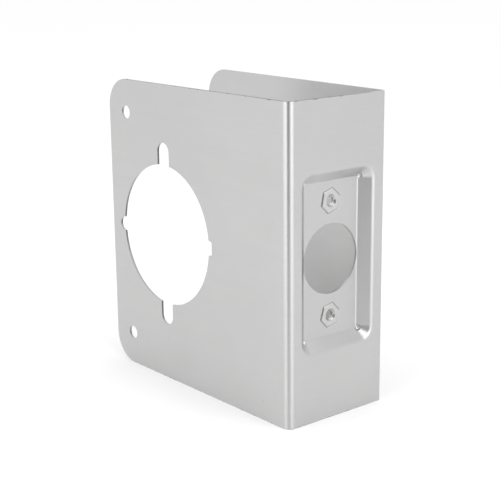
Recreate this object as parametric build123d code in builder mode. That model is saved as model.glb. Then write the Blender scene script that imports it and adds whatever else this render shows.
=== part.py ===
"""Door wrap plate: one folded stainless sheet that wraps a door's edge where a cylindrical lock is fitted.

Frame: +X leaves the door's edge, +Y crosses the door's thickness and +Z is up.
The origin is the middle of the footprint, level with the bottom cut edges.
"""
import os
from math import radians, tan

from build123d import *

# Sheet and door, in millimetres
sheet = 0.8                  # thickness of the stainless sheet
door_thickness = 44.45       # the door that fits between the two flanges
plate_height = 114.3         # along the door's edge
bend_radius = 1.8            # inside radius of the two folds
corner_radius = 11.1         # rounded corners of each flange's free end
far_flare = 3.7              # how far out of square the far flange's free end stands

# Cross bore for the lock body, through both flanges
backset = 69.85              # door edge to the lock's axis
cross_bore = 53.975          # diameter
bore_margin = 7.9375         # between the bore and the free end of its flange
slot_width = 7.1             # slots above and below the bore, for the lock's posts
slot_depth = 8.4             # from the bore's edge to the rounded end of a slot
notch_radius = 2.8           # small round notches at the bore's two sides

# Screw holes near the free ends
screw_hole = 5.2             # diameter
screw_inset_x = 11.1         # free end to the holes' centres
screw_inset_z = 12.7         # top or bottom cut edge to the holes' centres

# Drawn recess in the edge strip, for the latch's faceplate
floor_width = 25.4
floor_height = 55.6
recess_depth = 4.0           # outer face to the recess floor
wall_angle = 46.0            # lean of the recess walls, in degrees
floor_corner = 0.8           # corner radius of the recess floor, in plan
rim_radius = 2.0             # outer rounding where the recess walls leave the edge strip
foot_radius = 1.0            # inner rounding where the walls meet the recess floor
latch_hole = 25.4            # diameter

# Small round dents that the drawing punch leaves in the recess corners
dent_radius = 1.2
dent_lift = 1.25             # recess floor to the dent's centre, which is right over the floor's corner

# Clinch nuts that take the faceplate's screws
nut_spacing = 41.275         # between the two screws
nut_flats = 8.0              # across the flats of the hexagon that shows in the recess floor
nut_clearance = 0.05         # round the hexagon
nut_rise = 0.25              # recess floor to the hexagon's face
nut_edge = 0.35              # chamfer round the hexagon's face
seat_rounding = 0.3          # of the sheet's edge round the hexagon
nut_flange = 10.6            # diameter of the flange that bears on the back of the floor
nut_flange_thickness = 0.7
thread_core = 3.4            # inside diameter of the thread
thread_mouth = 4.6           # diameter of the countersink at the thread's mouth
nut_turns = {"upper_clinch_nut": 18.0, "lower_clinch_nut": 13.0}  # how each hexagon happens to sit, in degrees

# Places that follow from the sizes above
flange_length = backset + cross_bore / 2 + bore_margin  # door edge to the free end of each flange
overall_depth = flange_length + sheet
overall_width = door_thickness + 2 * sheet
outer_bend = bend_radius + sheet
free_x = -overall_depth / 2
far_free_x = free_x + sheet * far_flare / overall_depth  # the far flange's inner corner is then level with free_x
face_x = overall_depth / 2
edge_y = -far_flare / 2      # middle of the edge strip, which leaves the footprint's middle at the origin
near_y = edge_y - overall_width / 2
far_y = edge_y + overall_width / 2
door_edge_x = face_x - sheet
bore_x = door_edge_x - backset
mid_z = plate_height / 2
slot_reach = cross_bore / 2 + slot_depth
screw_x = free_x + screw_inset_x
screw_spacing = plate_height - 2 * screw_inset_z
floor_x = face_x - recess_depth
back_growth = sheet * tan(radians(90 - wall_angle) / 2)  # how far the floor's back stands out round its front

latch_face = Plane(origin=(floor_x, edge_y, 0), x_dir=(0, 1, 0), z_dir=(1, 0, 0))
latch_back = latch_face.offset(-sheet)
nut_face = latch_face.offset(nut_rise)
nut_places = {"upper_clinch_nut": mid_z + nut_spacing / 2, "lower_clinch_nut": mid_z - nut_spacing / 2}

os.makedirs("parts", exist_ok=True)


with BuildPart() as wrap_plate:
    # the folded strip: a U in plan, raised to the plate's height
    with BuildSketch():
        with BuildLine():
            FilletPolyline(
                (free_x, near_y),
                (face_x, near_y),
                (face_x, far_y),
                (far_free_x, far_y + far_flare),
                radius=outer_bend,
            )
            offset(amount=sheet, side=Side.LEFT)
        make_face()
    extrude(amount=plate_height)
    free_ends = wrap_plate.faces().filter_by(Axis.Z, reverse=True).sort_by(Axis.X)[:2]
    fillet(free_ends.edges().filter_by(Axis.Z, reverse=True), corner_radius)

    # the drawn recess: its back bulges into the channel, and the sheet keeps its thickness all round
    with BuildSketch(latch_back):
        with Locations((0, mid_z)):
            RectangleRounded(
                floor_width + 2 * back_growth, floor_height + 2 * back_growth, floor_corner + back_growth
            )
    extrude(amount=recess_depth + sheet / 2, taper=-wall_angle)
    bulge_edges = wrap_plate.edges(Select.LAST).group_by(Axis.X)
    fillet(bulge_edges[-1], rim_radius - sheet)
    fillet(bulge_edges[0], foot_radius + sheet)

    # the backs of the corner dents
    with Locations((floor_x + dent_lift, edge_y, mid_z)):
        with Locations(Plane.YZ):
            with GridLocations(floor_width, floor_height, 2, 2):
                Sphere(dent_radius + sheet)

    with BuildSketch(latch_face):
        with Locations((0, mid_z)):
            RectangleRounded(floor_width, floor_height, floor_corner)
    extrude(amount=recess_depth + sheet, taper=-wall_angle, mode=Mode.SUBTRACT)
    recess_edges = wrap_plate.edges(Select.LAST).group_by(Axis.X)
    fillet(recess_edges[-1], rim_radius)
    fillet(recess_edges[0], foot_radius)

    with Locations((floor_x + dent_lift, edge_y, mid_z)):
        with Locations(Plane.YZ):
            with GridLocations(floor_width, floor_height, 2, 2):
                Sphere(dent_radius, mode=Mode.SUBTRACT)

    # cross bore with its slots and notches, and the screw holes, through both flanges
    with BuildSketch(Plane.XZ):
        with Locations((bore_x, mid_z)):
            Circle(cross_bore / 2)
            SlotOverall(2 * slot_reach, slot_width, rotation=90)
            with PolarLocations(cross_bore / 2, 2):
                Circle(notch_radius)
        with Locations((screw_x, mid_z)):
            with GridLocations(0, screw_spacing, 1, 2):
                Circle(screw_hole / 2)
    extrude(amount=overall_width, both=True, mode=Mode.SUBTRACT)

    # latch hole, which just meets the feet of the recess walls
    with BuildSketch(latch_face):
        with Locations((0, mid_z)):
            Circle(latch_hole / 2)
    extrude(amount=sheet, both=True, mode=Mode.SUBTRACT)

    # the nuts' hexagonal seats in the recess floor
    with BuildSketch(latch_face):
        for name, z in nut_places.items():
            with Locations((0, z)):
                RegularPolygon(nut_flats / 2 + nut_clearance, 6, major_radius=False, rotation=nut_turns[name])
    extrude(amount=sheet, both=True, mode=Mode.SUBTRACT)
    fillet(wrap_plate.edges(Select.LAST).filter_by(GeomType.LINE).group_by(Axis.X)[-1], seat_rounding)

wrap_plate.part.label = "wrap_plate"
export_step(wrap_plate.part, "parts/wrap_plate.step")


for name, z in nut_places.items():
    with BuildPart() as clinch_nut:
        # hexagon, a little proud of the recess floor
        with BuildSketch(nut_face):
            with Locations((0, z)):
                RegularPolygon(nut_flats / 2, 6, major_radius=False, rotation=nut_turns[name])
        extrude(amount=-(nut_rise + sheet))
        chamfer(clinch_nut.faces().sort_by(Axis.X)[-1].edges(), nut_edge)
        # round flange behind the sheet
        with BuildSketch(latch_back):
            with Locations((0, z)):
                Circle(nut_flange / 2)
        extrude(amount=-nut_flange_thickness)
        # threaded hole with a countersunk mouth
        with Locations(Plane(nut_face.from_local_coords((0, z, 0)), x_dir=(0, 1, 0), z_dir=(1, 0, 0))):
            CounterSinkHole(thread_core / 2, thread_mouth / 2)

    clinch_nut.part.label = name
    export_step(clinch_nut.part, f"parts/{name}.step")
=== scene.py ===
"""Door wrap plate: the looks of its folded stainless sheet and its two clinch nuts, on a pale floor."""

from math import cos, pi, radians, sin, tan

import bmesh
import bpy
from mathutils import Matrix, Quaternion, Vector


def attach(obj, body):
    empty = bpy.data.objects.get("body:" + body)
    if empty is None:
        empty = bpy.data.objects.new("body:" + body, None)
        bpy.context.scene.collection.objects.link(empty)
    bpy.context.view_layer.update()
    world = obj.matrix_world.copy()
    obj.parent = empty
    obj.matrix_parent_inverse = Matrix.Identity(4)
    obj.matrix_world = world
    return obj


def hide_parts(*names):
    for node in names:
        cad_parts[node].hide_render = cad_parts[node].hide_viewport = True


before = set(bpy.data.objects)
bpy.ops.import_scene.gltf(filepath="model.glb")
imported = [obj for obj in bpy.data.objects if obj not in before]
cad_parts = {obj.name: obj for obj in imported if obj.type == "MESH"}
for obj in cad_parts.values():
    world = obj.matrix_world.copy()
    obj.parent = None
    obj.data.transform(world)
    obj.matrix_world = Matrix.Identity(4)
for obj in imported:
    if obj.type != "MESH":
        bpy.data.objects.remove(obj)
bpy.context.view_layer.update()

# Camera: azimuth 0 looks along +Y and 90 along -X; the distance is in metres
IMAGE_SIDE = 500             # pixels
FOCAL_LENGTH = 1204.8        # pixels
CAMERA_AZIMUTH = 50.53
CAMERA_ELEVATION = 14.38
CAMERA_ROLL = 0.58
CAMERA_DISTANCE = 0.44997
CAMERA_TARGET = Vector((0.00878, -0.00524, 0.05311))

# Studio; its lamps and its card stand round the near fold
FOLD = Vector((0.05, -0.022, 0.057))
FLOOR_SIDE = 12.0
FLOOR_COLOUR = (0.92, 0.92, 0.92, 1.0)
FLOOR_GLOW = 0.065
WHITE = (1.0, 1.0, 1.0, 1.0)
WORLD_STRENGTH = 1.0
SOFTBOX_DISTANCE = 1.0
# azimuth and elevation from the fold, width, height, and radiance, where 1 looks as bright as white
SOFTBOXES = {
    "left_softbox": (0, 14, 0.5, 0.75, 1.7),
    "left_fill": (-29, 14, 0.42, 0.75, 1.1),
    "right_softbox": (93, 27, 0.78, 1.05, 1.72),
}
CARD_AZIMUTH = 43
CARD_DISTANCE = 0.42
CARD_MIDDLE_Z = 0.23         # so that it hangs just over the floor
CARD_WIDTH = 0.28
CARD_HEIGHT = 0.42
CARD_COLOUR = (0.05, 0.05, 0.05, 1.0)

# Steel: linear colour, roughness, anisotropy and the height of its grain in metres
PLATE_STEEL = ((0.552, 0.552, 0.55), 0.38, 0.8, 0.000002)
NUT_STEEL = ((0.552, 0.552, 0.548), 0.36, 0.6, 0.000001)
LEVEL_GRAIN = 0.25           # anisotropic rotation at which the grain runs level
ROUGHNESS_SPREAD = 0.03      # that the streaks give to either side

# Streaks and clouds in the steel's colour: size along and across the grain, in metres, and the range of tone
FINE_STREAKS = (0.006, 0.00022)
FINE_TONES = (0.985, 1.015)
BROAD_STREAKS = (0.05, 0.0011)
BROAD_TONES = (0.988, 1.01)
CLOUDS_PER_METRE = 32.0
CLOUD_TONES = (0.975, 1.02)

# The plate, its painted edge shade and its specks, in metres
PLATE_HEIGHT = 0.1143
# painted shade: a dark band along the sheared top and bottom edges, in the base colour
EDGE_SHADE_END_Y = 0.013           # the edges beyond this get no painted shade
EDGE_SHADE_REACH = 0.0004         # reach of the painted edge shade, at its most ragged
EDGE_SHADE_LEAST = 0.00005         # so that the cut edge itself is always dark
EDGE_SHADE_PER_METRE = 450.0
# how much the painted shade darkens the edges
EDGE_SHADE_DARKNESS = 0.55
SPECKS = (
    ((-0.0171, -0.0249, 0.01655), 0.00032),
    ((0.00613, -0.0249, 0.02279), 0.0002),
    ((0.03875, -0.0249, 0.00676), 0.0004),
)
SPECK_DARKNESS = 0.16

# The nuts and their threads, in metres
EDGE_Y = -0.00185            # middle of the edge strip
NUT_SPACING = 0.041275
NUT_HEIGHTS = {
    "upper_clinch_nut": (PLATE_HEIGHT + NUT_SPACING) / 2,
    "lower_clinch_nut": (PLATE_HEIGHT - NUT_SPACING) / 2,
}
THREAD_START = 0.0468        # behind the nuts
THREAD_END = 0.0495          # in front of them
THREAD_PITCH = 0.000794
THREAD_CORE = 0.0017         # radius of the plain hole
THREAD_DEPTH = 0.00038
THREAD_OVERLAP = 0.0001      # of the cutter into the hole
THREAD_FLANK = radians(30)   # each side of the V leans this far
THREAD_STEPS = 32            # in each turn
SHARP_FROM = radians(25)     # edges of the nut that turn this far stay sharp


def direction(azimuth, elevation):
    """The way from the object towards a place seen at this azimuth and elevation."""
    azimuth = radians(azimuth)
    elevation = radians(elevation)
    return Vector((sin(azimuth) * cos(elevation), -cos(azimuth) * cos(elevation), sin(elevation)))


def add_camera():
    data = bpy.data.cameras.new("camera")
    data.sensor_fit = "HORIZONTAL"
    data.lens = FOCAL_LENGTH / IMAGE_SIDE * data.sensor_width
    data.clip_start = 0.01
    camera = bpy.data.objects.new("camera", data)
    bpy.context.scene.collection.objects.link(camera)
    back = direction(CAMERA_AZIMUTH, CAMERA_ELEVATION)
    camera.location = CAMERA_TARGET + back * CAMERA_DISTANCE
    camera.rotation_mode = "QUATERNION"
    roll = Quaternion((0, 0, 1), radians(-CAMERA_ROLL))
    camera.rotation_quaternion = (-back).to_track_quat("-Z", "Y") @ roll
    bpy.context.scene.camera = camera


def add_node(tree, kind, **values):
    """A shader node with its settings and input values."""
    node = tree.nodes.new(kind)
    for name, value in values.items():
        if hasattr(node, name):
            setattr(node, name, value)
        else:
            node.inputs[name.replace("_", " ")].default_value = value
    return node


def maths(tree, operation, first, second):
    """A math node; each input is another node's output or a number."""
    node = add_node(tree, "ShaderNodeMath", operation=operation)
    for socket, value in zip(node.inputs, (first, second)):
        if isinstance(value, (int, float)):
            socket.default_value = value
        else:
            tree.links.new(value, socket)
    return node.outputs["Value"]


def add_plane(name, width, height, location, facing):
    """A flat panel with its front towards facing."""
    mesh = bpy.data.meshes.new(name)
    right = width / 2
    top = height / 2
    corners = [(-right, -top, 0), (right, -top, 0), (right, top, 0), (-right, top, 0)]
    mesh.from_pydata(corners, [], [(0, 1, 2, 3)])
    panel = bpy.data.objects.new(name, mesh)
    panel.location = location
    panel.rotation_mode = "QUATERNION"
    panel.rotation_quaternion = facing.to_track_quat("Z", "Y")
    bpy.context.scene.collection.objects.link(panel)
    return panel


def matt_material(name, colour):
    material = bpy.data.materials.new(name)
    material.use_nodes = True
    shader = material.node_tree.nodes["Principled BSDF"]
    shader.inputs["Base Color"].default_value = colour
    shader.inputs["Roughness"].default_value = 1.0
    shader.inputs["Specular IOR Level"].default_value = 0.0
    return material


def add_softbox(name, azimuth, elevation, width, height, radiance):
    """A rectangular lamp that faces the fold."""
    data = bpy.data.lights.new(name, "AREA")
    data.shape = "RECTANGLE"
    data.size = width
    data.size_y = height
    data.energy = radiance * width * height * pi
    lamp = bpy.data.objects.new(name, data)
    lamp.location = FOLD + direction(azimuth, elevation) * SOFTBOX_DISTANCE
    lamp.rotation_mode = "QUATERNION"
    lamp.rotation_quaternion = (-direction(azimuth, elevation)).to_track_quat("-Z", "Y")
    lamp.visible_camera = False
    bpy.context.scene.collection.objects.link(lamp)


def white_for_camera(material, strength):
    """Adds a little white to what the camera and reflections see of a material."""
    tree = material.node_tree
    path = tree.nodes.new("ShaderNodeLightPath")
    seen = maths(tree, "MAXIMUM", path.outputs["Is Camera Ray"], path.outputs["Is Glossy Ray"])
    shader = tree.nodes["Principled BSDF"]
    shader.inputs["Emission Color"].default_value = WHITE
    tree.links.new(maths(tree, "MULTIPLY", seen, strength), shader.inputs["Emission Strength"])


def add_studio():
    floor = add_plane("floor", FLOOR_SIDE, FLOOR_SIDE, Vector((0, 0, 0)), Vector((0, 0, 1)))
    pale = matt_material("pale_floor", FLOOR_COLOUR)
    white_for_camera(pale, FLOOR_GLOW)
    floor.data.materials.append(pale)

    world = bpy.data.worlds.new("studio")
    world.use_nodes = True
    background = world.node_tree.nodes["Background"]
    background.inputs["Color"].default_value = WHITE
    background.inputs["Strength"].default_value = WORLD_STRENGTH
    bpy.context.scene.world = world

    for name, values in SOFTBOXES.items():
        add_softbox(name, *values)

    # a dark card between the softboxes, which the fold and the recess's far wall reflect
    card_way = direction(CARD_AZIMUTH, 0)
    card_place = Vector((FOLD.x, FOLD.y, CARD_MIDDLE_Z)) + card_way * CARD_DISTANCE
    card = add_plane("dark_card", CARD_WIDTH, CARD_HEIGHT, card_place, -card_way)
    card.data.materials.append(matt_material("dark_card", CARD_COLOUR))
    card.visible_camera = False


def streaks(tree, coordinates, along, across):
    """Noise drawn out along the sheet's horizontal directions, as brushing leaves it."""
    mapping = add_node(tree, "ShaderNodeMapping", Scale=(1 / along, 1 / along, 1 / across))
    noise = add_node(tree, "ShaderNodeTexNoise", Scale=1.0, Detail=2, Roughness=0.6)
    tree.links.new(coordinates, mapping.inputs["Vector"])
    tree.links.new(mapping.outputs["Vector"], noise.inputs["Vector"])
    return noise.outputs["Fac"]


def spread(tree, source, low, high):
    """Noise's middle half, stretched to the range low to high."""
    node = add_node(tree, "ShaderNodeMapRange", From_Min=0.25, From_Max=0.75, To_Min=low, To_Max=high)
    tree.links.new(source, node.inputs["Value"])
    return node.outputs["Result"]


def brushed_steel(name, colour, roughness, anisotropy, grain_height):
    """Steel with a level grain that runs round the folds."""
    material = bpy.data.materials.new(name)
    material.use_nodes = True
    tree = material.node_tree
    shader = tree.nodes["Principled BSDF"]
    shader.inputs["Metallic"].default_value = 1.0
    shader.inputs["Anisotropic"].default_value = anisotropy
    shader.inputs["Anisotropic Rotation"].default_value = LEVEL_GRAIN
    tangent = add_node(tree, "ShaderNodeTangent", direction_type="RADIAL", axis="Z")
    tree.links.new(tangent.outputs["Tangent"], shader.inputs["Tangent"])
    coordinates = tree.nodes.new("ShaderNodeTexCoord").outputs["Object"]

    fine = streaks(tree, coordinates, *FINE_STREAKS)
    broad = streaks(tree, coordinates, *BROAD_STREAKS)
    cloud = add_node(tree, "ShaderNodeTexNoise", Scale=CLOUDS_PER_METRE, Detail=3, Roughness=0.55)
    tree.links.new(coordinates, cloud.inputs["Vector"])

    # colour: slow clouds with faint streaks over them
    clouds = spread(tree, cloud.outputs["Fac"], *CLOUD_TONES)
    tone = maths(tree, "MULTIPLY", clouds, spread(tree, broad, *BROAD_TONES))
    tone = maths(tree, "MULTIPLY", tone, spread(tree, fine, *FINE_TONES))
    tint = add_node(tree, "ShaderNodeVectorMath", operation="SCALE")
    tint.inputs[0].default_value = colour
    tree.links.new(tone, tint.inputs["Scale"])
    tree.links.new(tint.outputs["Vector"], shader.inputs["Base Color"])

    # roughness: the same streaks, so that light catches them
    streaked = spread(tree, fine, roughness - ROUGHNESS_SPREAD, roughness + ROUGHNESS_SPREAD)
    tree.links.new(streaked, shader.inputs["Roughness"])

    bump = add_node(tree, "ShaderNodeBump", Strength=1.0, Distance=grain_height)
    tree.links.new(fine, bump.inputs["Height"])
    tree.links.new(bump.outputs["Normal"], shader.inputs["Normal"])
    return material


def screw_groove(name, height):
    """A closed V-section ridge along one nut's screw line, from behind the nut to in front of it."""
    root = THREAD_CORE - THREAD_OVERLAP
    tip = THREAD_CORE + THREAD_DEPTH
    half_width = (tip - root) * tan(THREAD_FLANK)
    steps = round((THREAD_END - THREAD_START) / THREAD_PITCH * THREAD_STEPS)
    points = []
    for step in range(steps + 1):
        turn = 2 * pi * step / THREAD_STEPS
        x = THREAD_START + THREAD_PITCH * step / THREAD_STEPS
        for radius, shift in ((root, -half_width), (tip, 0.0), (root, half_width)):
            points.append((x + shift, EDGE_Y + radius * cos(turn), height + radius * sin(turn)))
    faces = [(0, 1, 2), (3 * steps + 2, 3 * steps + 1, 3 * steps)]
    for step in range(steps):
        for side in range(3):
            here = 3 * step + side
            beside = 3 * step + (side + 1) % 3
            faces.append((here, here + 3, beside + 3))
            faces.append((here, beside + 3, beside))
    mesh = bpy.data.meshes.new(name)
    mesh.from_pydata(points, [], faces)
    shape = bmesh.new()
    shape.from_mesh(mesh)
    bmesh.ops.recalc_face_normals(shape, faces=shape.faces)
    shape.to_mesh(mesh)
    shape.free()
    return bpy.data.objects.new(name, mesh)


def add_threaded_nut(node, height, material):
    """The CAD nut with its thread cut into the plain hole; it stands for that node."""
    piece = bpy.data.objects.new(node + "_threaded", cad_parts[node].data.copy())
    groove = screw_groove(node + "_groove", height)
    for part in (piece, groove):
        bpy.context.scene.collection.objects.link(part)
    cut = piece.modifiers.new("thread", "BOOLEAN")
    cut.operation = "DIFFERENCE"
    cut.solver = "EXACT"
    cut.object = groove
    bpy.context.view_layer.update()
    evaluated = piece.evaluated_get(bpy.context.evaluated_depsgraph_get())
    cut_mesh = bpy.data.meshes.new_from_object(evaluated)
    piece.modifiers.clear()
    piece.data = cut_mesh
    bpy.data.objects.remove(groove)
    if "custom_normal" in cut_mesh.attributes:
        cut_mesh.attributes.remove(cut_mesh.attributes["custom_normal"])
    cut_mesh.shade_smooth()
    cut_mesh.set_sharp_from_angle(angle=SHARP_FROM)
    cut_mesh.materials.clear()
    cut_mesh.materials.append(material)
    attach(piece, "root")
    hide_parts(node)


def mark_plate(material):
    """Paints shade along the plate's sheared top and bottom edges and adds its few specks."""
    tree = material.node_tree
    shader = tree.nodes["Principled BSDF"]
    tint = shader.inputs["Base Color"].links[0].from_socket
    coordinates = tree.nodes.new("ShaderNodeTexCoord").outputs["Object"]
    parts = tree.nodes.new("ShaderNodeSeparateXYZ")
    tree.links.new(coordinates, parts.inputs["Vector"])

    # the painted shade reaches a ragged little way from the cut edges
    ragged = add_node(tree, "ShaderNodeTexNoise", Scale=EDGE_SHADE_PER_METRE, Detail=2, Roughness=0.6)
    tree.links.new(coordinates, ragged.inputs["Vector"])
    shade_reach = spread(tree, ragged.outputs["Fac"], -EDGE_SHADE_REACH, EDGE_SHADE_REACH)
    from_middle = maths(tree, "SUBTRACT", parts.outputs["Z"], PLATE_HEIGHT / 2)
    to_edge = maths(tree, "SUBTRACT", PLATE_HEIGHT / 2, maths(tree, "ABSOLUTE", from_middle, 0.0))
    at_edge = maths(tree, "LESS_THAN", to_edge, maths(tree, "MAXIMUM", shade_reach, EDGE_SHADE_LEAST))
    outside = maths(tree, "LESS_THAN", parts.outputs["Y"], EDGE_SHADE_END_Y)
    dark = maths(tree, "MULTIPLY", maths(tree, "MULTIPLY", at_edge, outside), EDGE_SHADE_DARKNESS)

    for place, radius in SPECKS:
        away = add_node(tree, "ShaderNodeVectorMath", operation="DISTANCE")
        away.inputs[1].default_value = place
        tree.links.new(coordinates, away.inputs[0])
        inside = maths(tree, "LESS_THAN", away.outputs["Value"], radius)
        dark = maths(tree, "MAXIMUM", dark, maths(tree, "MULTIPLY", inside, SPECK_DARKNESS))

    marked = add_node(tree, "ShaderNodeVectorMath", operation="SCALE")
    tree.links.new(tint, marked.inputs[0])
    tree.links.new(maths(tree, "SUBTRACT", 1.0, dark), marked.inputs["Scale"])
    tree.links.new(marked.outputs["Vector"], shader.inputs["Base Color"])


def use_material(node, material):
    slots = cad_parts[node].data.materials
    slots.clear()
    slots.append(material)


def add_looks():
    plate = brushed_steel("plate_steel_brushed", *PLATE_STEEL)
    mark_plate(plate)
    use_material("wrap_plate", plate)
    nut = brushed_steel("nut_steel_brushed", *NUT_STEEL)
    for node, height in NUT_HEIGHTS.items():
        add_threaded_nut(node, height, nut)


add_camera()
add_studio()
add_looks()
bpy.context.scene.view_settings.view_transform = "Standard"
